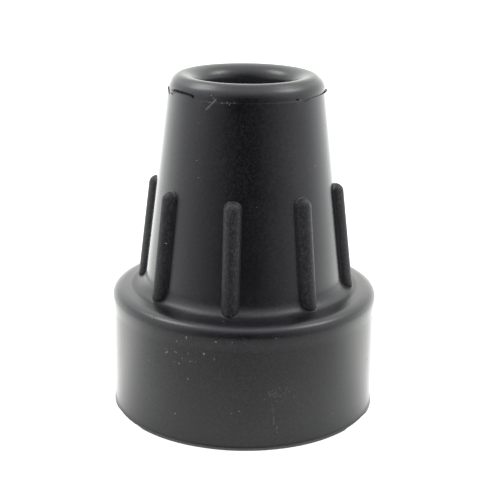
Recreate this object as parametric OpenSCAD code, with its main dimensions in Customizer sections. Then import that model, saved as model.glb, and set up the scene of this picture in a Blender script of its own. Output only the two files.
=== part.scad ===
// Rubber cane tip: a drum-shaped base with a treaded underside, a tapered sleeve with a
// blind socket for the cane, a rounded mouth, and rounded ribs down the foot of the sleeve.
// It stands on its tread. The axis of the socket is Z and the ground is z = 0.

/* [Base] */
// Diameter of the base wall
base_d = 48; // [44:0.5:56]
// Height of the flat shoulder above the ground
shoulder_h = 22.5; // [20:0.5:28]
// Radius of the rounded edge of the shoulder
shoulder_round = 1.8; // [1:0.1:3]
// How far the rounded edge stands out from the base wall
shoulder_proud = 0.15; // [0.1:0.05:0.4]
// Height of the thin moulded lip round the bottom edge
lip_h = 0.5; // [0.4:0.1:1.2]
// How far the lip stands out from the base wall
lip_proud = 0.1; // [0.1:0.05:0.5]

/* [Sleeve] */
// Overall height from the ground to the crest of the mouth
total_h = 61.1; // [56:0.1:70]
// Diameter of the sleeve where it meets the shoulder
sleeve_foot_d = 36.6; // [33:0.1:38]
// Taper of the sleeve on each side, in degrees
sleeve_taper = 7; // [5:0.25:7.5]
// Radius of the hollow corner between the sleeve and the shoulder
foot_fillet = 2.2; // [1:0.1:2.4]

/* [Mouth] */
// Radius of the outer rounding of the mouth
mouth_outer_round = 2.6; // [2:0.1:3.6]
// Radius of the inner rounding, where the cane goes in
mouth_inner_round = 3.2; // [1:0.1:3.4]

/* [Socket] */
// Diameter of the socket for the cane
socket_d = 17; // [15:0.5:18.5]
// Thickness of solid rubber under the socket
socket_floor = 18; // [12:0.5:24]
// Radius of the corner at the bottom of the socket
socket_corner = 1.5; // [0.5:0.1:3]

/* [Ribs] */
// Number of ribs round the sleeve
rib_count = 8; // [4:1:12]
// Width of a rib
rib_w = 3; // [2.4:0.1:3.6]
// How far the crest of a rib stands out from the sleeve
rib_proud = 1.6; // [1.5:0.1:2.2]
// Height of the rounded top end of a rib above the ground
rib_top_h = 42; // [32:0.5:50]
// How deep the rounded foot of a rib runs into the shoulder
rib_seat = 0.25; // [0.15:0.05:0.5]
// Turn of the first rib from the X axis, in degrees
rib_turn = -8; // [-22:1:22]

/* [Tread] */
// Depth of the ring grooves in the underside
groove_depth = 2; // [1:0.1:3]
// Width of a groove at the ground
groove_w = 2.6; // [1.6:0.1:3.2]
// Slope of each side of a groove, in degrees
groove_draft = 10; // [4:1:15]
// Width of the solid ring outside the first groove
edge_land = 4.4; // [3:0.1:6]
// Distance from one groove to the next
groove_pitch = 5.6; // [5:0.1:8]

/* [Hidden] */
$fn = 96;
// Small overlap that keeps neighbouring curves from only grazing each other
graze = 0.02;
base_r = base_d / 2;
rim_r = base_r + shoulder_proud - shoulder_round;
rim_z = shoulder_h - shoulder_round;
socket_r = socket_d / 2;
rib_r = rib_w / 2;
mouth_z = total_h - mouth_outer_round;
mouth_r = sleeve_r(mouth_z) - mouth_outer_round / cos(sleeve_taper) + graze;
first_groove_r = base_r - edge_land - groove_w / 2;

// Outer radius of the tapered sleeve at height z
function sleeve_r(z) = sleeve_foot_d / 2 - (z - shoulder_h) * tan(sleeve_taper);

// Half section of the drum: wall, bottom lip and rounded shoulder edge
module base_section() {
    square([base_r, rim_z]);
    square([base_r + lip_proud, lip_h]);
    square([rim_r, shoulder_h - graze / 2]);
    translate([rim_r, rim_z])
        circle(r = shoulder_round);
}

// Half section of the hollow corner at the foot of the sleeve
module fillet_section() {
    reach = foot_fillet * tan((90 - sleeve_taper) / 2) - graze;
    centre_r = sleeve_r(shoulder_h) + reach;
    difference() {
        polygon([
            [sleeve_r(shoulder_h) - foot_fillet, shoulder_h - foot_fillet / 2],
            [centre_r, shoulder_h - foot_fillet / 2],
            [centre_r, shoulder_h],
            [sleeve_r(shoulder_h + reach), shoulder_h + reach],
            [sleeve_r(shoulder_h + reach) - foot_fillet, shoulder_h + reach]
        ]);
        translate([centre_r, shoulder_h + foot_fillet - graze])
            circle(r = foot_fillet);
    }
}

// Half section of the tapered sleeve with the rounded outside of its mouth
module sleeve_section() {
    intersection() {
        polygon([
            [0, lip_h],
            [sleeve_r(lip_h), lip_h],
            [sleeve_r(total_h), total_h],
            [0, total_h]
        ]);
        union() {
            square([base_r, mouth_z]);
            square([mouth_r, total_h]);
            translate([mouth_r, mouth_z])
                circle(r = mouth_outer_round);
        }
    }
}

// Half section of the empty socket, with its bottom corner and its flared mouth
module socket_section() {
    corner_r = socket_r - socket_corner;
    translate([0, socket_floor])
        square([corner_r, total_h]);
    translate([0, socket_floor + socket_corner])
        square([socket_r, total_h]);
    translate([corner_r, socket_floor + socket_corner])
        circle(r = socket_corner);
    difference() {
        translate([0, total_h - mouth_inner_round])
            square([socket_r + mouth_inner_round, 2 * mouth_inner_round]);
        translate([socket_r + mouth_inner_round, total_h - mouth_inner_round])
            circle(r = mouth_inner_round);
    }
}

// Half sections of the ring grooves, as many as the underside has room for
module tread_section() {
    slope = groove_depth * tan(groove_draft);
    for (r = [first_groove_r : -groove_pitch : groove_w])
        polygon([
            [r - groove_w / 2 - slope, -groove_depth],
            [r + groove_w / 2 + slope, -groove_depth],
            [r + groove_w / 2 - slope, groove_depth],
            [r - groove_w / 2 + slope, groove_depth]
        ]);
}

// One rib: a round bar with round ends that lies along the taper, half sunk in the sleeve
module rib() {
    low_z = shoulder_h - rib_seat + rib_r;
    high_z = rib_top_h - rib_r;
    length = (high_z - low_z) / cos(sleeve_taper);
    translate([sleeve_r(low_z) + (rib_proud - rib_r) / cos(sleeve_taper), 0, low_z])
        rotate([0, -sleeve_taper, 0])
            rotate_extrude()
                intersection() {
                    translate([0, -rib_r])
                        square([rib_r, length + rib_w]);
                    union() {
                        square([rib_r, length]);
                        circle(r = rib_r);
                        translate([0, length])
                            circle(r = rib_r);
                    }
                }
}

module cane_tip() {
    color([0.07, 0.07, 0.075]) {
        rotate_extrude()
            difference() {
                union() {
                    base_section();
                    fillet_section();
                    sleeve_section();
                }
                socket_section();
                tread_section();
            }
        for (i = [0 : rib_count - 1])
            rotate([0, 0, rib_turn + i * 360 / rib_count])
                rib();
    }
}

cane_tip();
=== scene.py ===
"""A rubber cane tip: its moulded body, the flash left by the mould, its dust and finish, and the studio."""

import math

import bpy
import numpy as np
from mathutils import Matrix, Vector
from mathutils.bvhtree import BVHTree


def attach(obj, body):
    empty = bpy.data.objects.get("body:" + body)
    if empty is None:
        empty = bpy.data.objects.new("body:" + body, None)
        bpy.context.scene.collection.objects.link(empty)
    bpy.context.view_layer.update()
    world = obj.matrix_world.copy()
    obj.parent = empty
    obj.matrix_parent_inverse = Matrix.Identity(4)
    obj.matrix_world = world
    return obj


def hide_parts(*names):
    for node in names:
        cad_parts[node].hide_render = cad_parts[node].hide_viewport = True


bl_info = {
    "name": "Rubber Cane Tip",
    "version": (1, 0, 0),
    "blender": (4, 5, 0),
    "location": "3D View > Sidebar > Cane Tip",
    "description": "Builds a moulded rubber cane tip, its finish and a small studio round it",
    "category": "Add Mesh",
}

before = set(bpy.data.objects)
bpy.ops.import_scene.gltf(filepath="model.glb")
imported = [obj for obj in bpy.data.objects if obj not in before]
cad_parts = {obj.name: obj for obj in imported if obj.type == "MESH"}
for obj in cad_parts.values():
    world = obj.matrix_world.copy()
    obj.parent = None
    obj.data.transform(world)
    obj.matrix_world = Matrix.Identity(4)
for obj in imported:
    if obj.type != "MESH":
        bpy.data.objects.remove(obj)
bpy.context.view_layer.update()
MM = 0.001


def mm(metres):
    """Metres in millimetres."""
    return metres / MM


# ---- Sizes and colours ----


def length(name, text, size):
    """A length property, from a size in millimetres."""
    unit = {"subtype": "DISTANCE", "unit": "LENGTH", "precision": 5}
    return bpy.props.FloatProperty(name=name, description=text, default=size * MM, min=0, **unit)


def angle(name, text, radians):
    """An angle property."""
    unit = {"subtype": "ANGLE", "unit": "ROTATION"}
    return bpy.props.FloatProperty(name=name, description=text, default=radians, **unit)


def colour(name, text, rgb):
    """A linear colour property."""
    return bpy.props.FloatVectorProperty(name=name, description=text, default=rgb, min=0, subtype="COLOR")


def share(name, text, value):
    """A plain factor from 0 up to 1."""
    return bpy.props.FloatProperty(name=name, description=text, default=value, min=0, max=1, subtype="FACTOR")


class TipShape(bpy.types.PropertyGroup):
    """Sizes of the moulding."""

    base_radius: length("Base radius", "Radius of the base wall", 24)
    shoulder_height: length("Shoulder height", "Height of the shoulder at the sleeve", 22.54)
    shoulder_fall: angle("Shoulder fall", "Slope of the shoulder to its edge", math.radians(4))
    shoulder_soft: length("Soft rounding", "Radius of the edge at the shoulder", 3.2)
    shoulder_round: length("Shoulder rounding", "Radius of the edge in its middle", 1.25)
    shoulder_wall: length("Wall rounding", "Radius of the edge at the wall", 2.4)
    shoulder_proud: length("Shoulder stand-out", "How far the edge stands out from the wall", 0.138)
    lip_height: length("Lip height", "Height of the lip round the bottom", 0.5)
    lip_proud: length("Lip stand-out", "How far the lip stands out from the wall", 0.135)
    edge_round: length("Edge rounding", "Radius of the bottom edge without its lip", 0.55)
    total_height: length("Height", "Height of the mouth's crest", 61.07)
    sleeve_radius: length("Sleeve radius", "Radius of the sleeve at the shoulder", 18.3)
    sleeve_taper: angle("Sleeve taper", "Taper of the sleeve on each side", math.radians(7))
    foot_fillet: length("Foot fillet", "Radius of the hollow corner at the sleeve's foot", 2.25)
    mouth_outer: length("Outer mouth rounding", "Radius of the mouth's outer rounding", 2.4)
    mouth_crest: length("Crest rounding", "Radius of the mouth's crest outside", 1.5)
    mouth_slope: angle("Mouth slope", "Slope between the two outer roundings", math.radians(40))
    mouth_inner: length("Inner mouth rounding", "Width of the mouth's inner rounding", 3.1)
    mouth_depth: length("Inner mouth depth", "Height of the mouth's inner rounding", 2.4)
    parting: length("Parting line", "Height of the mould's joint", 58.15)
    socket_radius: length("Socket radius", "Radius of the socket for the cane", 8.45)
    socket_floor: length("Socket floor", "Thickness of rubber under the socket", 18)
    socket_corner: length("Socket corner", "Radius of the socket's bottom corner", 1.5)
    rib_count: bpy.props.IntProperty(name="Ribs", description="Number of ribs", default=8, min=3, max=16)
    rib_width: length("Rib width", "Width of a rib", 3.05)
    rib_proud: length("Rib stand-out", "How far a rib stands out from the sleeve", 1.62)
    rib_top: length("Rib top", "Height of a rib's top end", 42)
    rib_seat: length("Rib seat", "How deep a rib's foot is sunk", 0.27)
    rib_blend: length("Rib blend", "Softness of the corner beside a rib", 0.08)
    rib_turn: angle("Rib turn", "Turn of the first rib from the X axis", math.radians(-8))
    groove_depth: length("Groove depth", "Depth of the ring grooves", 2)
    groove_width: length("Groove width", "Width of a groove at the ground", 2.6)
    groove_draft: angle("Groove draft", "Slope of a groove's sides", math.radians(10))
    edge_land: length("Edge land", "Width of the ring outside the first groove", 4.4)
    groove_pitch: length("Groove pitch", "Distance from one groove to the next", 5.6)


class TipFinish(bpy.types.PropertyGroup):
    """Colours and surface of the rubber."""

    rubber: colour("Rubber", "Colour of the black rubber", (0.0031, 0.0026, 0.0066))
    bloom: colour("Bloom", "Colour of the pale film on the rubber", (0.16, 0.16, 0.155))
    dust: colour("Dust", "Colour of the dust specks", (0.32, 0.32, 0.31))
    scuff: colour("Scuffs", "Colour of the faint scuffs", (0.055, 0.055, 0.056))
    roughness: share("Roughness", "Roughness of the moulded skin", 0.34)
    rib_roughness: share("Rib roughness", "Extra roughness on the ribs", 0.3)
    grain: length("Grain", "Height of the finest surface grain", 0.006)


class TipStudio(bpy.types.PropertyGroup):
    """Floor, lights and camera."""

    floor: colour("Floor", "Colour of the floor", (0.88, 0.88, 0.88))
    floor_size: length("Floor size", "Width of the floor", 3000)
    box_distance: length("Light distance", "Distance of the soft boxes", 450)
    box_size: length("Light size", "Width of the soft boxes", 150)
    box_glow: bpy.props.FloatProperty(name="Light glow", description="Glow, where 1 is white", default=5)
    camera_distance: length("Camera distance", "Distance of the camera from the axis", 209.85)
    camera_height: length("Camera height", "Height of the camera", 94.87)
    camera_side: length("Camera offset", "How far the camera stands to the right", 0.06)
    camera_pitch: angle("Camera pitch", "How far the camera looks down", 0.30187)
    camera_roll: angle("Camera roll", "Turn of the camera about its own axis", 0.0119)
    lens: bpy.props.FloatProperty(
        name="Lens", description="Focal length", default=88.245, subtype="DISTANCE_CAMERA"
    )


# ---- Curves ----


def line(a, b, n):
    """Points a + (b - a) t for n steps of t from 0 to just before 1."""
    return np.array(a) + np.subtract(b, a) * np.arange(n)[:, None] / n


def arc(centre, radius, start, stop, n):
    """Points centre + radius (cos a, sin a) for n steps of a from start to just before stop, in degrees. The
    radius may be a pair, across and up."""
    a = np.radians(start + (stop - start) * np.arange(n) / n)
    return np.array(centre) + radius * np.stack([np.cos(a), np.sin(a)], 1)


def turned(r, turn, z):
    """Points (r cos turn, r sin turn, z)."""
    return np.stack([r * np.cos(turn), r * np.sin(turn), z + 0 * turn], -1)


def unit(v):
    """The same directions at length 1."""
    return v / np.maximum(np.linalg.norm(v, axis=1, keepdims=True), 1e-9)


def step(a, b, x):
    """A soft step: 0 before a, 1 after b, and t t (3 - 2 t) between them."""
    t = np.clip((x - a) / (b - a), 0, 1)
    return t * t * (3 - 2 * t)


def band(a, b, c, d, x):
    """Rises in a soft step from a to b and falls in another from c to d."""
    return step(a, b, x) * (1 - step(c, d, x))


def from_front(turn):
    """Degrees from the front, positive to the right."""
    return (np.degrees(turn) + 90 + 180) % 360 - 180


def waver(turn, seed, low, high):
    """A smooth uneven line round the axis, from about -1 to 1: the sum of sin(k turn + shift) / sqrt(k) for k
    from low to high - 1."""
    rng = np.random.default_rng(seed)
    total = sum(np.sin(k * turn + rng.uniform(0, 2 * math.pi)) / math.sqrt(k) for k in range(low, high))
    return total / math.sqrt(sum(1 / k for k in range(low, high)) * 2)


def lip_share(turn):
    """How much of the bottom lip is left at each turn: 1 in front, at the far sides and behind, and 0 between
    them, times an uneven line near 1."""
    a = from_front(turn)
    front = band(-52, -46, 50, 52, a)
    sides = 1 - band(-74, -69, 65, 70, a)
    return np.clip(np.maximum(front, sides) * (0.9 + 0.1 * waver(turn, 9, 3, 26)), 0, 1)


# ---- The moulded body ----

# softening of the grooves' edges, in millimetres
GROOVE_EASE = 0.22
# how steeply the rays rise near a rib's foot
RAY_LIFT = math.radians(14)


class Section:
    """The half section in millimetres, from the middle of the tread round the outside and the mouth to the
    socket's floor. Points that a rib may cover have an aim: the rise of the ray that looks for its skin."""

    def __init__(self, s):
        self.taper, self.fall = s.sleeve_taper, s.shoulder_fall
        self.base, self.shoulder = mm(s.base_radius), mm(s.shoulder_height)
        self.sleeve_foot, self.fillet = mm(s.sleeve_radius), mm(s.foot_fillet)
        self.rib_half = mm(s.rib_width) / 2
        self.low = self.shoulder - mm(s.rib_seat) + self.rib_half
        self.high = mm(s.rib_top) - self.rib_half
        self.offset = (mm(s.rib_proud) - self.rib_half) / math.cos(self.taper)
        self.blend = mm(s.rib_blend)
        self.count, self.turn = s.rib_count, s.rib_turn
        self.parting = mm(s.parting)
        # centre of the hollow corner
        across = self.fillet * (1 - math.sin(self.taper)) / math.cos(self.taper)
        self.corner = (self.sleeve_foot + across, self.shoulder + self.fillet)
        self.rows, self.aims = [], []
        self.add_tread(s)
        self.add_bottom_edge(s)
        self.add_wall_and_shoulder(s)
        foot = self.add_corner()
        mouth_foot = self.add_sleeve_and_mouth(s, foot)
        self.add_socket(s)
        self.points = np.concatenate(self.rows)
        turning = 5  # over this height above the sleeve's foot the rays turn square to the taper
        aim, (r, z) = np.concatenate(self.aims), self.points.T
        on_sleeve = np.isnan(aim) & (z >= foot) & (z < mouth_foot) & (r > mm(s.socket_radius) + 2)
        square = np.clip((z - foot) / turning, 0, 1)
        self.aim = np.where(on_sleeve, RAY_LIFT + (self.taper - RAY_LIFT) * square, aim)
        self.near_rib = ~np.isnan(self.aim) & (z < self.high + 2.5)

    def add(self, points, aim=np.nan):
        """Adds points, with their aim where they have one."""
        self.rows.append(np.array(points))
        self.aims.append(np.full(len(points), aim))

    def sleeve(self, z):
        """Radius of the tapered sleeve at a height."""
        return self.sleeve_foot - (z - self.shoulder) * math.tan(self.taper)

    def add_sleeve(self, low, high, n, aim=np.nan):
        """Adds n points up the taper."""
        self.add(line((self.sleeve(low), low), (self.sleeve(high), high), n), aim)

    def add_tread(self, s):
        """Flat lands and ring grooves with softened edges."""
        width, depth, ease = mm(s.groove_width), mm(s.groove_depth), GROOVE_EASE
        slope = depth * math.tan(s.groove_draft)
        side = [(-ease, 0), (ease * 0.3, ease), (slope, depth - ease), (slope + ease, depth)]
        outermost = self.base - mm(s.edge_land) - width / 2
        here = (0, 0)
        for r in np.arange(outermost, width, -mm(s.groove_pitch))[::-1]:
            a, b = r - width / 2, r + width / 2
            self.add(line(here, (a - ease, 0), 2))
            self.add([(a + x, z) for x, z in side])
            self.add([(b - x, z) for x, z in side[:0:-1]])
            here = (b + ease, 0)
        self.add(line(here, (self.base - mm(s.edge_round), 0), 3))

    def add_bottom_edge(self, s):
        """A thin flared lip with a fine crease above it, and the plain rounding where it is trimmed off."""
        base, out, top, plain = self.base, self.base + mm(s.lip_proud), mm(s.lip_height), mm(s.edge_round)
        nose = 0.35  # radius of the lip's edge
        crease = [(out - 0.01, top - 0.1), (out - 0.05, top), (base, top + 0.08)]
        crease += [(base - 0.05, top + 0.16), (base - 0.05, top + 0.24), (base - 0.01, top + 0.33)]
        lip = np.concatenate([arc((out - nose, nose), nose, -90, 0, 8), crease])
        above = [(base, plain + 0.08), (base, plain + 0.14), (base, plain + 0.2), (base, plain + 0.28)]
        self.plain_edge = np.concatenate([arc((base - plain, plain), plain, -90, 0, 10), above])
        first = sum(len(points) for points in self.rows)
        self.lip_rows = slice(first, first + len(lip))
        self.add(lip)

    def add_wall_and_shoulder(self, s):
        """The wall and the shoulder's edge. The edge leans from the shoulder's fall to upright, with a radius
        that is tightest in the middle: it is the running sum of that radius times the cosine of its lean,
        outwards, and times the sine, downwards."""
        base, fall, corner = self.base, self.fall, self.corner
        lean = np.linspace(fall, math.pi / 2, 33)
        into, out_of = step(18, 38, np.degrees(lean)), step(52, 74, np.degrees(lean))
        bend = mm(s.shoulder_soft) * (1 - into) + mm(s.shoulder_round) * (into - out_of)
        bend += mm(s.shoulder_wall) * out_of
        halves = np.diff(lean) / 2
        running = lambda v: np.concatenate([[0], np.cumsum(halves * (v[1:] + v[:-1]))])
        out, drop = running(bend * np.cos(lean)), running(bend * np.sin(lean))
        inner = (corner[0] - self.fillet * math.sin(fall), corner[1] - self.fillet * math.cos(fall))
        rim = base + mm(s.shoulder_proud)
        edge = (rim - out[-1], inner[1] - (rim - out[-1] - inner[0]) * math.tan(fall))
        tall = 2.4  # height of the soft S from the widest point of the edge down to the wall
        widest = edge[1] - drop[-1]
        foot = widest - tall
        self.add(line((base, 0.9), (base, 3.6), 6))
        self.add(line((base, 3.6), (base, foot), 6))
        t = np.arange(12) / 12
        self.add(np.stack([base + (rim - base) * t * t * (3 - 2 * t), foot + (widest - foot) * t], 1))
        self.add(np.stack([edge[0] + out, edge[1] - drop], 1)[:0:-1])
        near = 0.9  # the points are closer this near to the hollow corner
        near_corner = (inner[0] + near, inner[1] - near * math.tan(fall))
        self.add(line(edge, near_corner, 3), RAY_LIFT)
        self.add(line(near_corner, inner, 6), RAY_LIFT)

    def add_corner(self):
        """The hollow corner and the foot of the sleeve. Returns the height reached."""
        start, stop = 270 - math.degrees(self.fall), 180 + math.degrees(self.taper)
        self.add(arc(self.corner, self.fillet, start, stop, 20), RAY_LIFT)
        low = self.corner[1] - self.fillet * math.sin(self.taper)
        self.add_sleeve(low, low + 1.4, 6, RAY_LIFT)
        return low + 1.4

    def add_sleeve_and_mouth(self, s, foot):
        """The sleeve, and the mouth: an arc, a slope and a tighter arc outside, and an ellipse inside. Returns
        the height of the mouth's foot."""
        top, outer, tight, inner = mm(s.total_height), mm(s.mouth_outer), mm(s.mouth_crest), mm(s.mouth_inner)
        slope, taper, depth = s.mouth_slope, self.taper, mm(s.mouth_depth)
        crest, flat, steep = mm(s.socket_radius) + inner, math.cos(slope), math.sin(slope)
        across = tight * steep + outer * (math.cos(taper) - steep)
        down = tight * (1 - flat) + outer * (flat - math.sin(taper))
        run = (self.sleeve(top - down) - crest - across) / (flat - math.tan(taper) * steep)
        mouth_foot = top - down - run * steep
        stops = (foot, self.high - 0.4, self.high + 1, self.high + 1.7, self.high + 2.6)
        stops += (self.parting - 2.7, self.parting - 0.2, self.parting + 0.3, mouth_foot)
        for low, high, n in zip(stops[:-1], stops[1:], (14, 9, 12, 5, 6, 6, 12, 5)):
            self.add_sleeve(low, high, n)
        centre = (self.sleeve(mouth_foot) - outer * math.cos(taper), mouth_foot - outer * math.sin(taper))
        self.add(arc(centre, outer, math.degrees(taper), 90 - math.degrees(slope), 14))
        slope_top = (crest + tight * steep, top - tight * (1 - flat))
        slope_foot = (slope_top[0] + run * flat, slope_top[1] - run * steep)
        self.add(line(slope_foot, slope_top, 4))
        self.add(arc((crest, top - tight), tight, 90 - math.degrees(slope), 90, 9))
        self.add(arc((crest, top - depth), (inner, depth), 90, 180, 18))
        return mouth_foot

    def add_socket(self, s):
        """The socket's wall, corner and floor."""
        r, corner, floor = mm(s.socket_radius), mm(s.socket_corner), mm(s.socket_floor)
        self.add(line((r, mm(s.total_height) - mm(s.mouth_depth)), (r, floor + corner), 8))
        self.add(arc((r - corner, floor + corner), corner, 0, -90, 6))
        self.add(line((r - corner, floor), (0, floor), 4))
        self.add([(0.0, floor)])

    def outside(self, r, z):
        """Distance from the plain sleeve and shoulder: the lesser of the two, and in the hollow corner its
        radius less the distance from its centre."""
        c, s = math.cos(self.taper), math.sin(self.taper)
        to_taper = (r - self.sleeve_foot) * c + (z - self.shoulder) * s
        ur, uz = r - self.corner[0], z - self.corner[1]
        to_shoulder = ur * math.sin(self.fall) + uz * math.cos(self.fall) + self.fillet
        in_corner = (-ur * s + uz * c < 0) & (ur * math.cos(self.fall) - uz * math.sin(self.fall) < 0)
        return np.where(in_corner, self.fillet - np.hypot(ur, uz), np.minimum(to_taper, to_shoulder))

    def to_rib(self, r, z, delta):
        """Distance from one rib: a round bar along the taper with a round top end. Its foot is square along
        the crest: the sixth root of w^6 + a^6, from the distances outwards w and past the end a."""
        x, y = r * np.cos(delta), r * np.sin(delta)
        ax, az = self.sleeve(self.low) + self.offset, self.low
        bx, bz = self.sleeve(self.high) + self.offset, self.high
        reach = math.hypot(bx - ax, bz - az)
        ux, uz = (bx - ax) / reach, (bz - az) / reach
        along = (x - ax) * ux + (z - az) * uz
        outwards = np.abs((x - ax) * uz - (z - az) * ux)
        past_foot, past_top = np.maximum(-along, 0), np.maximum(along - reach, 0)
        square = (outwards**6 + past_foot**6) ** (1 / 6)
        return np.sqrt(square**2 + y**2 + past_top**2) - self.rib_half

    def skin(self, r, z, delta):
        """The lesser of the two distances, less a quarter of the blend width where they are alike."""
        a, b = self.outside(r, z), self.to_rib(r, z, delta)
        h = np.maximum(self.blend - np.abs(a - b), 0) / self.blend
        return np.minimum(a, b) - h * h * self.blend / 4


# columns beside a rib's middle line, as shares of half its width
RIB_COLUMNS = (0, 0.16, 0.32, 0.47, 0.6, 0.71, 0.8, 0.87, 0.92, 0.955, 0.98)
RIB_COLUMNS += (1, 1.02, 1.05, 1.1, 1.18, 1.3, 1.5)
# columns from there to the middle of the gap
GAP_COLUMNS = 6
# the radii between which a column keeps its distance from a rib's middle line
RIB_RADII = (15.0, 19.5)
# the rib in front was cut this much to the right of its place
FRONT_RIB_SLIP = math.radians(0.6)
# how far the wall spreads near the ground at the far left and right, and its limit
FLARE, FLARE_LIMIT = 0.04, 0.142
# how far the rays to the skin reach, and in how many steps
RAY_REACH, RAY_STEPS = 3.4, 85


def body_grid(section):
    """The half section turned round the axis. Close to a rib a column's turn is its distance from the rib's
    middle line over the radius. Returns radius, height, turn and how far a rib lifts the skin."""
    near_turn = section.rib_half * np.array([RIB_COLUMNS]) / np.clip(section.points[:, :1], *RIB_RADII)
    half = math.pi / section.count
    gap = (np.arange(GAP_COLUMNS) + 1.0) / GAP_COLUMNS
    far_turn = near_turn[:, -1:] + (half - near_turn[:, -1:]) * gap
    side = np.concatenate([near_turn, far_turn], 1)
    sector = np.concatenate([-side[:, :0:-1], side[:, :-1]], 1)
    centres = section.turn + 2 * half * np.arange(section.count)
    centres[np.argmin(np.abs(from_front(centres)))] += FRONT_RIB_SLIP
    turn = (centres[None, :, None] + sector[:, None, :]).reshape(len(section.points), -1)
    delta = np.tile(sector, (1, section.count))
    place = np.repeat(section.points[:, None], turn.shape[1], 1)
    edge = section.lip_rows
    place[edge] += (section.plain_edge[:, None] - place[edge]) * (1 - lip_share(turn[edge]))[:, :, None]
    r, z = place[:, :, 0], place[:, :, 1]
    spread = FLARE * (1 - step(0.4, 3.2, z)) * band(58, 76, 112, 130, np.abs(from_front(turn)))
    spread *= r > section.base - 0.6
    r = np.where(spread > 0, np.minimum(r + spread, section.base + FLARE_LIMIT), r)
    lift, rows = np.zeros(r.shape), section.near_rib
    aim = section.aim[rows][:, None]
    lift[rows] = lift_to_skin(section, r[rows], z[rows], delta[rows], aim)
    r[rows] += lift[rows] * np.cos(aim)
    z[rows] += lift[rows] * np.sin(aim)
    return r, z, turn, lift


def lift_to_skin(section, r, z, delta, aim):
    """How far each point moves along its aim to reach the skin. Even steps find the last crossing, and
    Newton's steps, the distance over its slope, close in on it."""
    at = lambda way: section.skin(r + way * np.cos(aim), z + way * np.sin(aim), delta)
    steps = np.linspace(0, RAY_REACH, RAY_STEPS + 1)
    last = np.zeros(r.shape)
    before = at(0.0)
    for a, b in zip(steps[:-1], steps[1:]):
        after = at(b)
        crossed = (before < -1e-9) & (after >= 0)
        last = np.where(crossed, a + (b - a) * before / np.minimum(before - after, -1e-12), last)
        before = after
    for _ in range(4):
        value = at(last)
        slope = (at(last + 1e-3) - value) / 1e-3
        move = np.where((last > 0) & (slope > 0.05), -value / np.maximum(slope, 0.05), 0)
        last = np.maximum(last + np.clip(move, -0.02, 0.02), 0)
    return last


def parting_ledge(section, r, z, turn):
    """How far out the mould's joint stands: exp(-(height from it / fade)^2), with a short fade above and a
    long one below. It comes and goes, and is left off where flash takes its place."""
    fade = np.where(z > section.parting, 0.09, 1.1)
    ledge = np.exp(-(((z - section.parting) / fade) ** 2)) * (r > 12)
    a = from_front(turn)
    bare = np.maximum(band(-78, -72, -36, -30, a), band(36, 42, 96, 102, a))
    return ledge * (0.042 + 0.028 * waver(turn, 4, 3, 24)) * (1 - bare)


def skin_masks(section, verts, lift):
    """The masks that the rubber reads, as a number for each vertex."""
    out, up = np.hypot(verts[:, 0], verts[:, 1]), verts[:, 2]
    turn = from_front(np.arctan2(verts[:, 1], verts[:, 0]))
    ribs = np.zeros(len(verts))
    ribs[:-2] = np.clip(lift[1:-1] / 0.4, 0, 1).reshape(-1)
    # the hollow corner is rougher too
    corner = (up > section.shoulder - 0.2) * (out < section.corner[0] + 0.3) * (out > 16)
    corner = corner * (1 - step(section.corner[1] - 0.4, section.corner[1] + 0.6, up))
    ribs = np.maximum(ribs, 0.35 * corner)
    # 1 on the sides, and 0 on the shoulder and the mouth
    wall = 1 - step(20.6, 21.6, up)
    reach = 1.2 * band(50, 75, 105, 130, -turn) * (out > 11.6)
    sides = (1 - step(58.6 + reach, 59.4 + reach, up)) * np.maximum(wall, step(23.2, 24.4, up))
    # 1 inside the socket, where the film is thicker: painted light that lifts the dark inside of the socket
    inside = (1 - step(58.6, 60.2, up)) * (out < 10.5) * (up > 10)
    # 1 on the bottom lip, which is torn and matt
    torn = (1 - step(0.42, 0.6, up)) * (out > section.base - 0.5) * (1 - step(53, 62, np.abs(turn)))
    # the ribs are mottled most, then the wall on its left and behind
    worn = np.maximum(2.4 * ribs, 0.4 * wall * (1 - step(5, 40, turn)))
    return {"rib_skin": ribs, "side_skin": sides, "socket_painted_light": inside, "torn_edge": torn, "worn": worn}


# ---- Meshes ----


def mesh_object(name, verts, faces, material, smooth=True):
    """A mesh object at the origin from arrays of vertices, in metres, and faces."""
    mesh = bpy.data.meshes.new(name)
    mesh.from_pydata(verts.tolist(), [], faces)
    mesh.update()
    mesh.polygons.foreach_set("use_smooth", np.full(len(mesh.polygons), smooth))
    mesh.materials.append(material)
    obj = bpy.data.objects.new(name, mesh)
    bpy.context.scene.collection.objects.link(obj)
    return obj


def mark(obj, name, values):
    """Stores one number for each vertex."""
    obj.data.attributes.new(name, "FLOAT", "POINT").data.foreach_set("value", values.astype(np.float32))


def tube_faces(n, m):
    """Faces of n closed rings of m points: quads from ring to ring, and triangles to a point at each end."""
    i, j = np.meshgrid(np.arange(n - 1), np.arange(m), indexing="ij")
    k = (j + 1) % m
    quads = np.stack([i * m + j, i * m + k, (i + 1) * m + k, (i + 1) * m + j], 2).reshape(-1, 4)
    j, k = j[0], k[0]
    start = np.stack([np.full(m, n * m), k, j], 1)
    stop = np.stack([np.full(m, n * m + 1), (n - 1) * m + j, (n - 1) * m + k], 1)
    return quads.tolist() + start.tolist() + stop.tolist()


def closed_turning(r, z, turn):
    """Vertices and faces of a grid whose first and last rows lie on the axis and become single points."""
    grid = turned(r, turn, z)[1:-1]
    ends = [[0, 0, z[0, 0]], [0, 0, z[-1, 0]]]
    return np.concatenate([grid.reshape(-1, 3), ends]), tube_faces(*grid.shape[:2])


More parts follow.
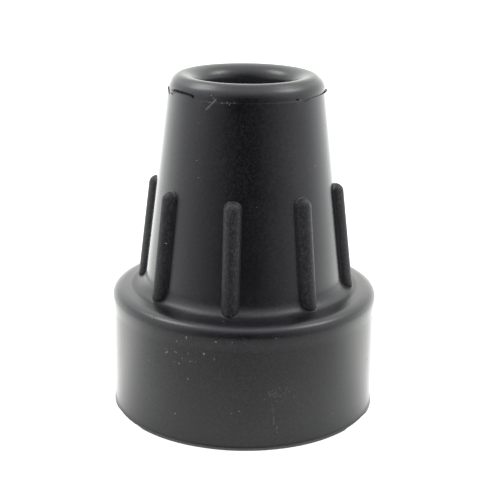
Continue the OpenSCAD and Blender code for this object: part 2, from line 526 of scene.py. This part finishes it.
class CANETIP_OT_body(bpy.types.Operator):
    """Builds the moulded body with its ribs, tread, socket and mouth"""

    bl_idname = "cane_tip.body"
    bl_label = "Moulded Body"

    def execute(self, context):
        section = Section(context.scene.cane_tip_shape)
        r, z, turn, lift = body_grid(section)
        r += parting_ledge(section, r, z, turn)
        verts, faces = closed_turning(r, z, turn)
        body = mesh_object("cane_tip_body", verts * MM, faces, rubber_material(context.scene.cane_tip_finish))
        for name, values in skin_masks(section, verts, lift).items():
            mark(body, name, values)
        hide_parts("cane_tip")
        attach(body, "root")
        return {"FINISHED"}


# ---- Flash left by the mould ----


def outside_radius(section, z):
    """Radius of the outside of the moulding at a height, between the ribs, read from the half section."""
    heights = section.points[:, 1]
    rows = slice(int(np.argmax(heights > 0.85)), int(np.argmax(heights)) + 1)
    return np.interp(z, heights[rows], section.points[rows, 0])


def smooth_rows(rows, n):
    """Rows of numbers joined by cubic curves: from p to q, with the slopes (q - o) / 2 and (s - p) / 2, where
    o and s are the rows before and after."""
    rows = np.asarray(rows, float)
    u = np.linspace(0, len(rows) - 1, n)
    i = np.minimum(u.astype(int), len(rows) - 2)
    t = (u - i)[:, None]
    o, p, q, s = rows[np.maximum(i - 1, 0)], rows[i], rows[i + 1], rows[np.minimum(i + 2, len(rows) - 1)]
    return (2 * p + (q - o) * t + (2 * o - 5 * p + 4 * q - s) * t**2 + (3 * p - o - 3 * q + s) * t**3) / 2


# points round a strand, and how far its ends are drawn out
STRAND_SIDES = 8
STRAND_END = 0.03


def strand(section, rows, n, ragged, seed):
    """A thin closed strand on the outside of the moulding. Each row gives degrees from the front, height,
    stand-out of its middle, half its thickness and half its width: its outline is the ellipse
    middle + thickness cos a outwards + width sin a across. Ragged is how uneven both are."""
    v = smooth_rows(rows, n)
    rng = np.random.default_rng(seed)
    v[:, 3:] = np.maximum(v[:, 3:], 0.01) * (1 + ragged * rng.uniform(-1, 1, (n, 2)))
    turn = np.radians(v[:, 0] - 90)
    r = outside_radius(section, v[:, 1]) + v[:, 2]
    middle = turned(r, turn, v[:, 1])
    along = unit(np.gradient(middle, axis=0))
    out = turned(1, turn, 0)
    out = unit(out - (out * along).sum(1, keepdims=True) * along)
    across = np.cross(along, out)
    a = np.arange(STRAND_SIDES) * 2 * math.pi / STRAND_SIDES
    thick, wide = (v[:, 3:4] * np.cos(a))[:, :, None], (v[:, 4:5] * np.sin(a))[:, :, None]
    ring = middle[:, None] + out[:, None] * thick + across[:, None] * wide
    ends = middle[[0, -1]] + along[[0, -1]] * np.array([[-STRAND_END], [STRAND_END]])
    return np.concatenate([ring.reshape(-1, 3), ends]), tube_faces(n, STRAND_SIDES)


def joined(parts):
    """Several lists of vertices and faces as one."""
    faces, first = [], 0
    for v, f in parts:
        faces += [[first + k for k in face] for face in f]
        first += len(v)
    return np.concatenate([v for v, _ in parts]), faces


# flash at the mould's joint, as strands
LEFT_SEAM = (
    (-68, 58.85, 0, 0.05, 0.06), (-64.5, 58.95, 0.04, 0.08, 0.12), (-60.5, 59.03, 0.07, 0.14, 0.24),
    (-56, 59.04, 0.09, 0.15, 0.27), (-51, 59.04, 0.09, 0.15, 0.26), (-46.5, 59, 0.09, 0.14, 0.22),
    (-43, 58.92, 0.09, 0.14, 0.23), (-40.8, 58.8, 0.08, 0.14, 0.24), (-39.8, 58.5, 0.05, 0.08, 0.14),
)
LEFT_FLAP = (
    (-71.5, 57.9, -0.05, 0.06, 0.08), (-73, 58.15, 0, 0.07, 0.12), (-74.5, 58.4, 0.03, 0.07, 0.15),
    (-76, 58.65, 0.05, 0.07, 0.16), (-77.5, 58.9, 0.06, 0.06, 0.14), (-78.5, 59.1, 0.07, 0.04, 0.08),
)
RIGHT_SEAM = (
    (90, 58.5, 0.02, 0.04, 0.06), (86, 58.49, 0.12, 0.09, 0.12), (82, 58.47, 0.17, 0.11, 0.14),
    (77, 58.45, 0.13, 0.09, 0.12), (70, 58.44, 0.06, 0.06, 0.09), (63, 58.42, 0.02, 0.04, 0.06),
    (56, 58.4, 0.01, 0.035, 0.045), (51, 58.32, 0.01, 0.035, 0.045), (46.5, 58.1, 0.01, 0.035, 0.06),
    (44, 57.95, 0, 0.03, 0.04),
)
LUMPS = (
    ((36.5, 58.4, 0, 0.04, 0.08), (38, 58.5, 0.01, 0.06, 0.15), (39.6, 58.4, 0, 0.04, 0.08)),
    ((-70, 58.3, 0, 0.03, 0.05), (-67, 58.28, 0.01, 0.05, 0.12), (-64, 58.2, 0, 0.03, 0.05)),
    ((-66, 58.65, 0, 0.03, 0.04), (-64, 58.66, 0.01, 0.05, 0.08), (-61, 58.55, 0, 0.03, 0.04)),
    ((151, 58.3, 0, 0.04, 0.05), (158, 58.4, 0.07, 0.1, 0.14), (166, 58.3, 0, 0.04, 0.05)),
    ((-142, 58.3, 0, 0.04, 0.05), (-136, 58.35, 0.05, 0.08, 0.12), (-130, 58.3, 0, 0.04, 0.05)),
)


class CANETIP_OT_flash(bpy.types.Operator):
    """Builds the thin torn flash that the mould left round the top"""

    bl_idname = "cane_tip.flash"
    bl_label = "Mould Flash"

    def execute(self, context):
        section = Section(context.scene.cane_tip_shape)
        seams = [(LEFT_SEAM, 56, 0.12), (LEFT_FLAP, 18, 0.12), (RIGHT_SEAM, 64, 0.12)]
        strands = seams + [(rows, 10, 0.2) for rows in LUMPS]
        parts = [strand(section, *look, seed=2 + k) for k, look in enumerate(strands)]
        verts, faces = joined(parts)
        flash = mesh_object("cane_tip_flash", verts * MM, faces, torn_material(context.scene.cane_tip_finish))
        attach(flash, "root")
        return {"FINISHED"}


# ---- Dust and scuffs ----

# the larger specks: degrees from the front, aim height, radius, stretch, and lean in degrees
SPECKS = (
    (-33, 16.5, 0.28, 2.3, 30), (-16, 17.5, 0.24, 1.1, 105), (-29, 17, 0.18, 2.5, 105),
    (-28, 19, 0.18, 1.8, 45), (-23.5, 20, 0.24, 1.9, 90), (-11, 20, 0.26, 1.7, 105),
    (-4.5, 20, 0.13, 1.5, 90), (13, 20.5, 0.18, 1.2, 60), (-27, 15, 0.18, 1.2, 135),
    (-23, 12.5, 0.18, 1.7, 105), (-29, 5.5, 0.2, 1.2, 120), (-42.5, 14, 0.2, 1.6, 15),
    (-1.5, 7.5, 0.15, 1.9, 90), (-4.5, 7, 0.15, 2.2, 30), (41, 4.5, 0.18, 2.2, 135),
    (-41, 22, 0.24, 2.6, 60), (-33, 51.5, 0.09, 1.2, 135), (-31, 48.5, 0.09, 1.2, 60),
    (-2, 58, 0.05, 1.1, 15), (7, 44, 0.05, 1.2, 0), (-49, 35.5, 0.13, 2.1, 0), (-45, 32.5, 0.08, 2.6, 45),
    (51, 50, 0.12, 1.3, 60), (-33.5, 58, 0.09, 1.8, 60), (-25, 63, 0.1, 1.7, 45), (-13, 62, 0.09, 1.8, 60),
    (41, 62, 0.1, 1.9, 135), (56, 60.5, 0.1, 1.3, 150),
)
# their tone above and below the shoulder
SLEEVE_TONE, WALL_TONE = 0.9, 0.5

# patches of finer dust: degrees from the front, aim height, spread each way, how many specks, then the least
# and greatest radius and tone
PATCHES = (
    (12.2, 7.8, 0.8, 0.9, 14, 0.06, 0.12, 0.1, 0.4), (12.8, 5.6, 0.7, 1.1, 18, 0.06, 0.12, 0.1, 0.4),
    (14, 4, 0.7, 0.8, 9, 0.06, 0.12, 0.1, 0.4), (12.5, 10.4, 3.2, 0.9, 34, 0.06, 0.12, 0.1, 0.4),
    (18.5, 10.8, 2.2, 0.8, 12, 0.06, 0.12, 0.1, 0.4), (15, 9.5, 9, 3, 10, 0.13, 0.17, 0.12, 0.2),
    (-28, 16.5, 14, 3, 13, 0.1, 0.18, 0.2, 0.45), (-20, 62, 12, 0.8, 4, 0.08, 0.1, 0.8, 0.9),
    (-8, 30, 4, 5, 4, 0.07, 0.09, 0.8, 0.9),
)

# dust at random behind and at the sides, and very fine dust all over: how many specks, then the range of each
# number in a row of SPECKS, and of the tone
SCATTERS = (
    (95, (62, 296), (2, 62), (0.05, 0.1), (1, 2.5), (0, 180), (0.5, 1)),
    (240, (0, 360), (1, 64), (0.02, 0.045), (1, 2.5), (0, 180), (0.4, 1)),
)

# pale scratches, as strands, and their tone
SCRATCHES = (
    (
        (-28.9, 56.75, -0.01, 0.02, 0.08), (-26.9, 57.22, 0.03, 0.05, 0.17), (-25, 57.7, 0.05, 0.05, 0.12),
        (-22.8, 58.28, 0.05, 0.05, 0.22), (-21, 58.8, -0.01, 0.02, 0.1),
    ),
    ((-28.4, 58.1, 0, 0.02, 0.02), (-26, 58.13, 0.07, 0.02, 0.05), (-22.8, 58.15, 0, 0.02, 0.02)),
    ((-21.9, 58.9, -0.01, 0.02, 0.02), (-21.8, 58.5, 0.02, 0.02, 0.04), (-21.6, 58.1, 0, 0.02, 0.02)),
)
SCRATCH_TONE = 0.22

# a speck's corners on a ball, before it is drawn out, and its triangles
GOLDEN = (1 + math.sqrt(5)) / 2
CORNERS = [np.roll((a, b * GOLDEN, 0), k) for k in range(3) for b in (1, -1) for a in (-1, 1)]
CORNERS = np.array(CORNERS) / math.hypot(1, GOLDEN)
TRIANGLES = np.array([
    (0, 11, 5), (0, 5, 1), (0, 1, 7), (0, 7, 10), (0, 10, 11), (1, 5, 9), (5, 11, 4), (11, 10, 2),
    (10, 7, 6), (7, 1, 8), (3, 9, 4), (3, 4, 2), (3, 2, 6), (3, 6, 8), (3, 8, 9), (4, 9, 5), (2, 4, 11),
    (6, 2, 10), (8, 6, 7), (9, 8, 1),
])
# how thick a speck is for its width, and how steeply the lines that place it come down
SPECK_FLATNESS = 0.4
SPECK_FALL = math.radians(20)
# the radius where the lines start, and the one where they cross the aim height
LINE_START, LINE_AIM = 40, 24


def speck_rows(rng):
    """A row for every speck, as in SPECKS, and its tone."""
    listed = np.array(SPECKS)
    rows, tone = [listed], [np.where(listed[:, 1] > 24, SLEEVE_TONE, WALL_TONE)]
    for n, *ranges, tones in SCATTERS:
        rows.append(np.stack([rng.uniform(*span, n) for span in ranges], 1))
        tone.append(rng.uniform(*tones, n))
    for turn, height, wide, tall, n, small, large, dim, bright in PATCHES:
        spot = rng.normal(0, 0.5, (n, 2)) * (wide, tall) + (turn, height)
        rest = [rng.uniform(*span, n) for span in ((small, large), (1, 2.5), (30, 150))]
        rows.append(np.stack([spot[:, 0], spot[:, 1], *rest], 1))
        tone.append(rng.uniform(dim, bright, n))
    return np.concatenate(rows), np.concatenate(tone)


def landing(body, rows, context):
    """Where lines from outside, sloping down to the axis, first meet the moulding. Returns which specks land,
    their places in millimetres and the surface's normals."""
    tree = BVHTree.FromObject(body, context.evaluated_depsgraph_get())
    turn = np.radians(rows[:, 0] - 90)
    c, s = math.cos(SPECK_FALL), math.sin(SPECK_FALL)
    aim = turned(-c, turn, -s)
    start = turned(LINE_START, turn, rows[:, 1] + (LINE_START - LINE_AIM) * s / c) * MM
    hits = [tree.ray_cast(a, b) for a, b in zip(start.tolist(), aim.tolist())]
    landed = np.array([hit[0] is not None for hit in hits])
    places, normals = (np.array([hit[k] for hit in hits if hit[0] is not None]) for k in (0, 1))
    return landed, places / MM, normals


def speck_lumps(places, normals, rows, rng):
    """Icosahedra with corners at 0.7 to 1.3 of their radius, times the root of the stretch along their lean
    and over it across, and flattened along the normal."""
    n = len(places)
    level = unit(np.cross([0, 0, 1], normals))
    up = np.cross(normals, level)
    lean = np.radians(rows[:, 4])
    c, s = np.cos(lean)[:, None], np.sin(lean)[:, None]
    long_way, short_way = (level * c + up * s)[:, None], (up * c - level * s)[:, None]
    lumps = CORNERS[None] * rng.uniform(0.7, 1.3, (n, len(CORNERS), 1)) * rows[:, 2, None, None]
    root = np.sqrt(rows[:, 3])[:, None, None]
    flat = lumps[:, :, :1] * root * long_way + lumps[:, :, 1:2] / root * short_way
    verts = places[:, None] + flat + lumps[:, :, 2:] * SPECK_FLATNESS * normals[:, None]
    faces = TRIANGLES[None] + len(CORNERS) * np.arange(n)[:, None, None]
    return verts.reshape(-1, 3), faces.reshape(-1, 3).tolist()


class CANETIP_OT_dust(bpy.types.Operator):
    """Scatters fine dust and pale scuffs over the moulding"""

    bl_idname = "cane_tip.dust"
    bl_label = "Dust and Scuffs"

    def execute(self, context):
        body = bpy.data.objects.get("cane_tip_body")
        if body is None:
            raise RuntimeError("build the moulded body first")
        rng = np.random.default_rng(11)
        rows, tone = speck_rows(rng)
        landed, places, normals = landing(body, rows, context)
        lumps = speck_lumps(places, normals, rows[landed], rng)
        section = Section(context.scene.cane_tip_shape)
        parts = [lumps]
        parts += [strand(section, rows, n=24, ragged=0.35, seed=30 + k) for k, rows in enumerate(SCRATCHES)]
        verts, faces = joined(parts)
        # no speck stands out further than the shoulder's edge
        far = np.maximum(np.hypot(verts[:, 0], verts[:, 1]), 1e-9)
        verts[:, :2] *= np.minimum(1, (section.base + 0.13) / far)[:, None]
        dust = mesh_object("cane_tip_dust", verts * MM, faces, dust_material(context.scene.cane_tip_finish))
        scratched = np.full(len(verts) - len(lumps[0]), SCRATCH_TONE)
        mark(dust, "tone", np.concatenate([np.repeat(tone[landed], len(CORNERS)), scratched]))
        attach(dust, "root")
        return {"FINISHED"}


# ---- Finish ----


def node(tree, kind, inputs=None, **settings):
    """Adds a shader node with its settings. An input takes a plain value, or a socket to link."""
    n = tree.nodes.new("ShaderNode" + kind)
    for key, value in settings.items():
        setattr(n, key, value)
    for key, value in (inputs or {}).items():
        if isinstance(value, bpy.types.NodeSocket):
            tree.links.new(value, n.inputs[key])
        else:
            n.inputs[key].default_value = value
    return n


def object_place(tree):
    """The place on the object, in metres."""
    return node(tree, "TexCoord").outputs["Object"]


def noise(tree, place, scale, detail, roughness=0.5):
    """Fine noise, from 0 to 1."""
    inputs = {"Vector": place, "Scale": scale, "Detail": detail, "Roughness": roughness}
    return node(tree, "TexNoise", inputs).outputs[0]


def mapped(tree, value, low, high, start=0.0, stop=1.0):
    """Maps low to high on to start to stop, and holds the value between them."""
    inputs = {"Value": value, "From Min": low, "From Max": high, "To Min": start, "To Max": stop}
    return node(tree, "MapRange", inputs).outputs[0]


def worked(tree, operation, *values, clamp=False):
    """One sum on plain numbers."""
    return node(tree, "Math", dict(enumerate(values)), operation=operation, use_clamp=clamp).outputs[0]


def mixed(tree, amount, a, b, way="MIX"):
    """Colour a where amount is 0, and b where it is 1, or a and b multiplied."""
    inputs = {"Factor": amount, "A": a, "B": b}
    return node(tree, "Mix", inputs, data_type="RGBA", blend_type=way).outputs["Result"]


def mask(tree, name):
    """A number stored at the vertices."""
    return node(tree, "Attribute", attribute_name=name).outputs["Fac"]


def new_material(name):
    """An empty material and its tree."""
    mat = bpy.data.materials.new(name)
    mat.use_nodes = True
    mat.node_tree.nodes.clear()
    return mat, mat.node_tree


def surfaced(mat, **inputs):
    """The material with its shader. An input's name has _ for a blank."""
    inputs = {key.replace("_", " "): value for key, value in inputs.items()}
    shader = node(mat.node_tree, "BsdfPrincipled", inputs).outputs[0]
    node(mat.node_tree, "OutputMaterial", {"Surface": shader})
    return mat


def bump(tree, height, strength, distance):
    """A fine relief, as normals."""
    return node(tree, "Bump", {"Strength": strength, "Distance": distance, "Height": height}).outputs[0]


def rubber_material(finish):
    """Moulded black rubber: a soft sheen broken by fine grain, and a faint pale film."""
    mat, t = new_material("moulded_rubber")
    place = object_place(t)
    lip = mask(t, "torn_edge")
    # the film is cloudy and thicker on the torn lip, and thicker in the socket as painted light
    film = mapped(t, noise(t, place, 90, 4, 0.6), 0.35, 0.75, 0, 0.05)
    film = worked(t, "MULTIPLY_ADD", mask(t, "socket_painted_light"), 0.1, film)
    film = worked(t, "MULTIPLY_ADD", lip, 0.6, film)
    # it is mottled too, and more where the skin is worn
    mottle = mapped(t, noise(t, place, 2600, 2, 0.6), 0.3, 0.7, -0.04, 0.052)
    mottle = worked(t, "MULTIPLY_ADD", mask(t, "worn"), mottle, mottle)
    film = worked(t, "ADD", film, mottle, clamp=True)
    # the sides are glossier at a low angle
    rough = worked(t, "MULTIPLY_ADD", mask(t, "rib_skin"), finish.rib_roughness, finish.roughness)
    gloss = mapped(t, node(t, "LayerWeight", {"Blend": 0.5}).outputs["Facing"], 0.5, 0.85, 0, -0.17)
    rough = worked(t, "MULTIPLY_ADD", gloss, mask(t, "side_skin"), rough)
    return surfaced(
        mat,
        Base_Color=mixed(t, film, (*finish.rubber, 1), (*finish.bloom, 1)),
        Roughness=worked(t, "MULTIPLY_ADD", lip, 0.5, rough, clamp=True),
        Specular_IOR_Level=1,
        Normal=bump(t, noise(t, place, 2200, 3, 0.6), 0.5, finish.grain),
    )


def torn_material(finish):
    """Torn rubber: the same black with a dull, uneven surface."""
    mat, t = new_material("torn_rubber")
    patch = noise(t, object_place(t), 4000, 3)
    paler = [1.4 * c + 0.006 for c in finish.rubber]
    return surfaced(
        mat,
        Base_Color=mixed(t, patch, (*finish.rubber, 1), (*paler, 1)),
        Roughness=mapped(t, patch, 0, 1, 0.5, 0.85),
        Specular_IOR_Level=0.18,
        Normal=bump(t, patch, 0.4, finish.grain * 4),
    )


def dust_material(finish):
    """Pale grey dust, uneven with fine noise, from a faint scuff at tone 0 to a bright speck at 1."""
    mat, t = new_material("pale_dust")
    tone = worked(t, "MULTIPLY_ADD", noise(t, object_place(t), 6000, 2), 0.3, mask(t, "tone"))
    tone = worked(t, "SUBTRACT", tone, 0.15, clamp=True)
    pale = mixed(t, tone, (*finish.scuff, 1), (*finish.dust, 1))
    return surfaced(mat, Base_Color=pale, Roughness=0.9, Specular_IOR_Level=0.2)


# ---- Studio ----

# the floor lies a hair below the tread
FLOOR_GAP = 0.02 * MM
# the soft boxes: degrees from the front to the right, and degrees above the ground
BOXES = {"left_box": (-110, 54), "right_box": (96, 53)}
BOX_AIM = Vector((0, 0, 0.04))

# brightness of the lit table and the tent where their greys are 1
TENT_GLOW = 3.2
# the table's greys, painted light seen only in reflections, from 100 mm in front of the object's middle to 60
# mm behind it
TABLE_SPAN = (-0.1, 0.06)
PAINTED_TABLE_LIGHT = (
    (0, 0.039), (0.094, 0.07), (0.175, 0.102), (0.244, 0.139), (0.3, 0.166), (0.356, 0.186), (0.4, 0.198),
    (0.4375, 0.209), (0.4625, 0.219), (0.4875, 0.231), (0.506, 0.242), (0.5375, 0.264), (0.5625, 0.286),
    (0.5875, 0.312), (0.606, 0.34), (0.625, 0.371), (0.65, 0.43), (0.675, 0.5), (0.7, 0.57), (0.7375, 0.64),
    (0.8, 0.65), (1, 0.7),
)
# a place to the side counts as this share of it further back, up to a limit
SIDE_SHARE, SIDE_LIMIT = 0.475, 0.028
# the tent's greys low down and higher up, from straight ahead of the object to straight behind
LOW_GREYS = (
    (0, 0), (0.015, 0.003), (0.028, 0.016), (0.0545, 0.044), (0.0714, 0.058), (0.111, 0.078), (0.165, 0.098),
    (0.228, 0.137), (0.297, 0.172), (0.379, 0.203), (0.474, 0.238), (0.526, 0.262), (0.578, 0.31),
    (0.629, 0.391), (0.695, 0.487), (0.75, 0.555), (0.82, 0.633), (0.883, 0.703), (0.9455, 0.84), (1, 1),
)
HIGH_GREYS = (
    (0, 0), (0.03, 0), (0.07, 0.035), (0.1, 0.059), (0.146, 0.094), (0.2, 0.156), (0.27, 0.219),
    (0.33, 0.256), (0.456, 0.287), (0.63, 0.32), (0.787, 0.365), (0.933, 0.5), (1, 0.5),
)
# straight behind the object, a hair to the left
TENT_BACK = (-0.01, 1.0, 0)


def graded(tree, place, stops, cool=0.08):
    """Greys through (place, grey) stops: a touch blue where they start, by the share cool, and a touch warm
    where they end."""
    ramp = node(tree, "ValToRGB", {0: place})
    points = ramp.color_ramp.elements
    while len(points) < len(stops):
        points.new(0.5)
    for point, (at, grey) in zip(points, stops):
        point.position = at
        point.color = (grey * (1 - 0.02 * at), grey, grey * (1 + cool - (cool + 0.035) * at), 1)
    return ramp.outputs["Color"]


def tent_group():
    """A node group with the tent's greys for a direction."""
    group = bpy.data.node_groups.new("tent_greys", "ShaderNodeTree")
    group.interface.new_socket("Direction", in_out="INPUT", socket_type="NodeSocketVector")
    result = group.nodes.new("NodeGroupOutput")
    way = group.nodes.new("NodeGroupInput").outputs
    for name in ("Low", "High"):
        group.interface.new_socket(name, in_out="OUTPUT", socket_type="NodeSocketColor")
    way = node(group, "VectorMath", {0: way["Direction"]}, operation="NORMALIZE").outputs["Vector"]
    back = node(group, "VectorMath", {0: way, 1: TENT_BACK}, operation="DOT_PRODUCT").outputs["Value"]
    place = mapped(group, back, -1.0, 1.0)
    group.links.new(graded(group, place, LOW_GREYS), result.inputs["Low"])
    group.links.new(graded(group, place, HIGH_GREYS), result.inputs["High"])
    return group


def tent_greys(tree, direction):
    """The outputs of the tent's node group, which is built once."""
    group = bpy.data.node_groups.get("tent_greys") or tent_group()
    n = node(tree, "Group", node_tree=group)
    tree.links.new(direction, n.inputs["Direction"])
    return n.outputs


def either(tree, choice, a, b):
    """Shader a where choice is 0 and b where it is 1."""
    return node(tree, "MixShader", {0: choice, 1: a, 2: b}).outputs[0]


def floor_material(s):
    """A matt white floor. The camera sees it as white with a trace of shadow, and from below not at all. A
    reflection sees the lit table as painted light, brighter from front to back and to the sides and darker
    beside the base with a painted shadow, and far away the low part of the tent."""
    mat, t = new_material("white_floor")
    ray = node(t, "LightPath").outputs
    place = object_place(t)
    x, y, _ = node(t, "SeparateXYZ", {0: place}).outputs
    aside = worked(t, "MINIMUM", worked(t, "ABSOLUTE", x), SIDE_LIMIT)
    along = mapped(t, worked(t, "MULTIPLY_ADD", aside, SIDE_SHARE, y), *TABLE_SPAN)
    away = node(t, "VectorMath", {0: place}, operation="LENGTH").outputs["Value"]
    # painted shadow: darker beside the base, and darkest where they meet
    beside = mapped(t, away, 0.0235, 0.032, mapped(t, along, 0.52, 0.66, 0.8, 0.97))
    painted_contact_shadow = mapped(t, away, 0.0241, 0.0252, 0.3)
    shade = worked(t, "MULTIPLY", beside, painted_contact_shadow)
    table = mixed(t, 1.0, graded(t, along, PAINTED_TABLE_LIGHT, cool=0.01), shade, "MULTIPLY")
    seen = mixed(t, mapped(t, away, 0.08, 0.19), table, tent_greys(t, place)["Low"])
    # the table glows only for reflections: painted light, brighter towards the back and the sides
    lit = node(t, "Emission", {"Color": seen, "Strength": TENT_GLOW}).outputs[0]
    matt = node(t, "BsdfDiffuse", {"Color": (*s.floor, 1)}).outputs[0]
    glow = node(t, "Emission", {"Strength": 0.75}).outputs[0]
    white = node(t, "AddShader", {0: matt, 1: glow}).outputs[0]
    top = either(t, ray["Is Camera Ray"], either(t, ray["Is Glossy Ray"], matt, lit), white)
    # clear from below, so that the tread can be looked at
    clear = node(t, "BsdfTransparent").outputs[0]
    below = node(t, "NewGeometry").outputs["Backfacing"]
    node(t, "OutputMaterial", {"Surface": either(t, below, top, clear)})
    return mat


def surround(world):
    """A white tent, plain white to the camera and to matt surfaces. In a reflection it is open to the front
    and darker near the opening."""
    t = world.node_tree
    t.nodes.clear()
    direction = node(t, "TexCoord").outputs["Generated"]
    greys = tent_greys(t, direction)
    height = mapped(t, node(t, "SeparateXYZ", {0: direction}).outputs["Z"], 0.03, 0.3)
    cloth = mixed(t, height, greys["Low"], greys["High"])
    ray = node(t, "LightPath").outputs
    white = (1, 1, 1, 1)
    tent, plain, seen = (
        node(t, "Background", {"Color": tone, "Strength": glow}).outputs[0]
        for tone, glow in ((cloth, TENT_GLOW), (white, 0.9), (white, 1.0))
    )
    lighting = either(t, ray["Is Glossy Ray"], plain, tent)
    node(t, "OutputWorld", {"Surface": either(t, ray["Is Camera Ray"], lighting, seen)})
    # only then does each reflection look the tent up for itself
    world.cycles.sampling_method = "NONE"


def soft_box(name, s, azimuth, elevation):
    """A square lamp that faces the object. Its power is its glow times pi times its area."""
    lamp = bpy.data.lights.new(name, "AREA")
    lamp.size = s.box_size
    lamp.energy = s.box_glow * math.pi * s.box_size**2
    obj = bpy.data.objects.new(name, lamp)
    bpy.context.scene.collection.objects.link(obj)
    across = math.cos(elevation)
    way = Vector((math.sin(azimuth) * across, -math.cos(azimuth) * across, math.sin(elevation)))
    obj.location = BOX_AIM + way * s.box_distance
    obj.rotation_euler = way.to_track_quat("Z", "Y").to_euler()


class CANETIP_OT_studio(bpy.types.Operator):
    """Sets the floor, the soft lights, the white surround and the camera"""

    bl_idname = "cane_tip.studio"
    bl_label = "Studio"

    def execute(self, context):
        scene = context.scene
        s = scene.cane_tip_studio
        corners = [[-1, -1, 0], [1, -1, 0], [1, 1, 0], [-1, 1, 0]]
        verts = np.array(corners) * s.floor_size / 2 - [0, 0, FLOOR_GAP]
        mesh_object("floor", verts, [[0, 1, 2, 3]], floor_material(s), smooth=False)
        for name, (azimuth, elevation) in BOXES.items():
            soft_box(name, s, math.radians(azimuth), math.radians(elevation))
        scene.world = bpy.data.worlds.new("surround")
        scene.world.use_nodes = True
        surround(scene.world)
        cam = bpy.data.cameras.new("camera")
        cam.lens = s.lens
        cam.sensor_width = 36.0
        cam.clip_start = 5 * MM
        scene.camera = bpy.data.objects.new("camera", cam)
        scene.collection.objects.link(scene.camera)
        place = Matrix.Translation((s.camera_side, -s.camera_distance, s.camera_height))
        turn = Matrix.Rotation(math.pi / 2 - s.camera_pitch, 4, "X") @ Matrix.Rotation(s.camera_roll, 4, "Z")
        scene.camera.matrix_world = place @ turn
        scene.view_settings.view_transform = "Standard"
        return {"FINISHED"}


# ---- Add-on ----


class CANETIP_PT_panel(bpy.types.Panel):
    """Lists the pieces of the cane tip"""

    bl_label = "Cane Tip"
    bl_space_type = "VIEW_3D"
    bl_region_type = "UI"
    bl_category = "Cane Tip"

    def draw(self, context):
        column = self.layout.column()
        for operator in OPERATORS:
            column.operator(operator.bl_idname)
        for name in GROUPS:
            box = self.layout.box()
            group = getattr(context.scene, name)
            for size in group.__annotations__:
                box.prop(group, size)


GROUPS = {"cane_tip_shape": TipShape, "cane_tip_finish": TipFinish, "cane_tip_studio": TipStudio}
OPERATORS = (CANETIP_OT_body, CANETIP_OT_flash, CANETIP_OT_dust, CANETIP_OT_studio)
CLASSES = (*GROUPS.values(), *OPERATORS, CANETIP_PT_panel)


def register():
    for cls in CLASSES:
        bpy.utils.register_class(cls)
    for name, cls in GROUPS.items():
        setattr(bpy.types.Scene, name, bpy.props.PointerProperty(type=cls))


def unregister():
    for name in GROUPS:
        delattr(bpy.types.Scene, name)
    for cls in reversed(CLASSES):
        bpy.utils.unregister_class(cls)


def main():
    """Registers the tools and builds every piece."""
    register()
    bpy.ops.cane_tip.body()
    bpy.ops.cane_tip.flash()
    bpy.ops.cane_tip.dust()
    bpy.ops.cane_tip.studio()


if __name__ == "__main__":
    main()
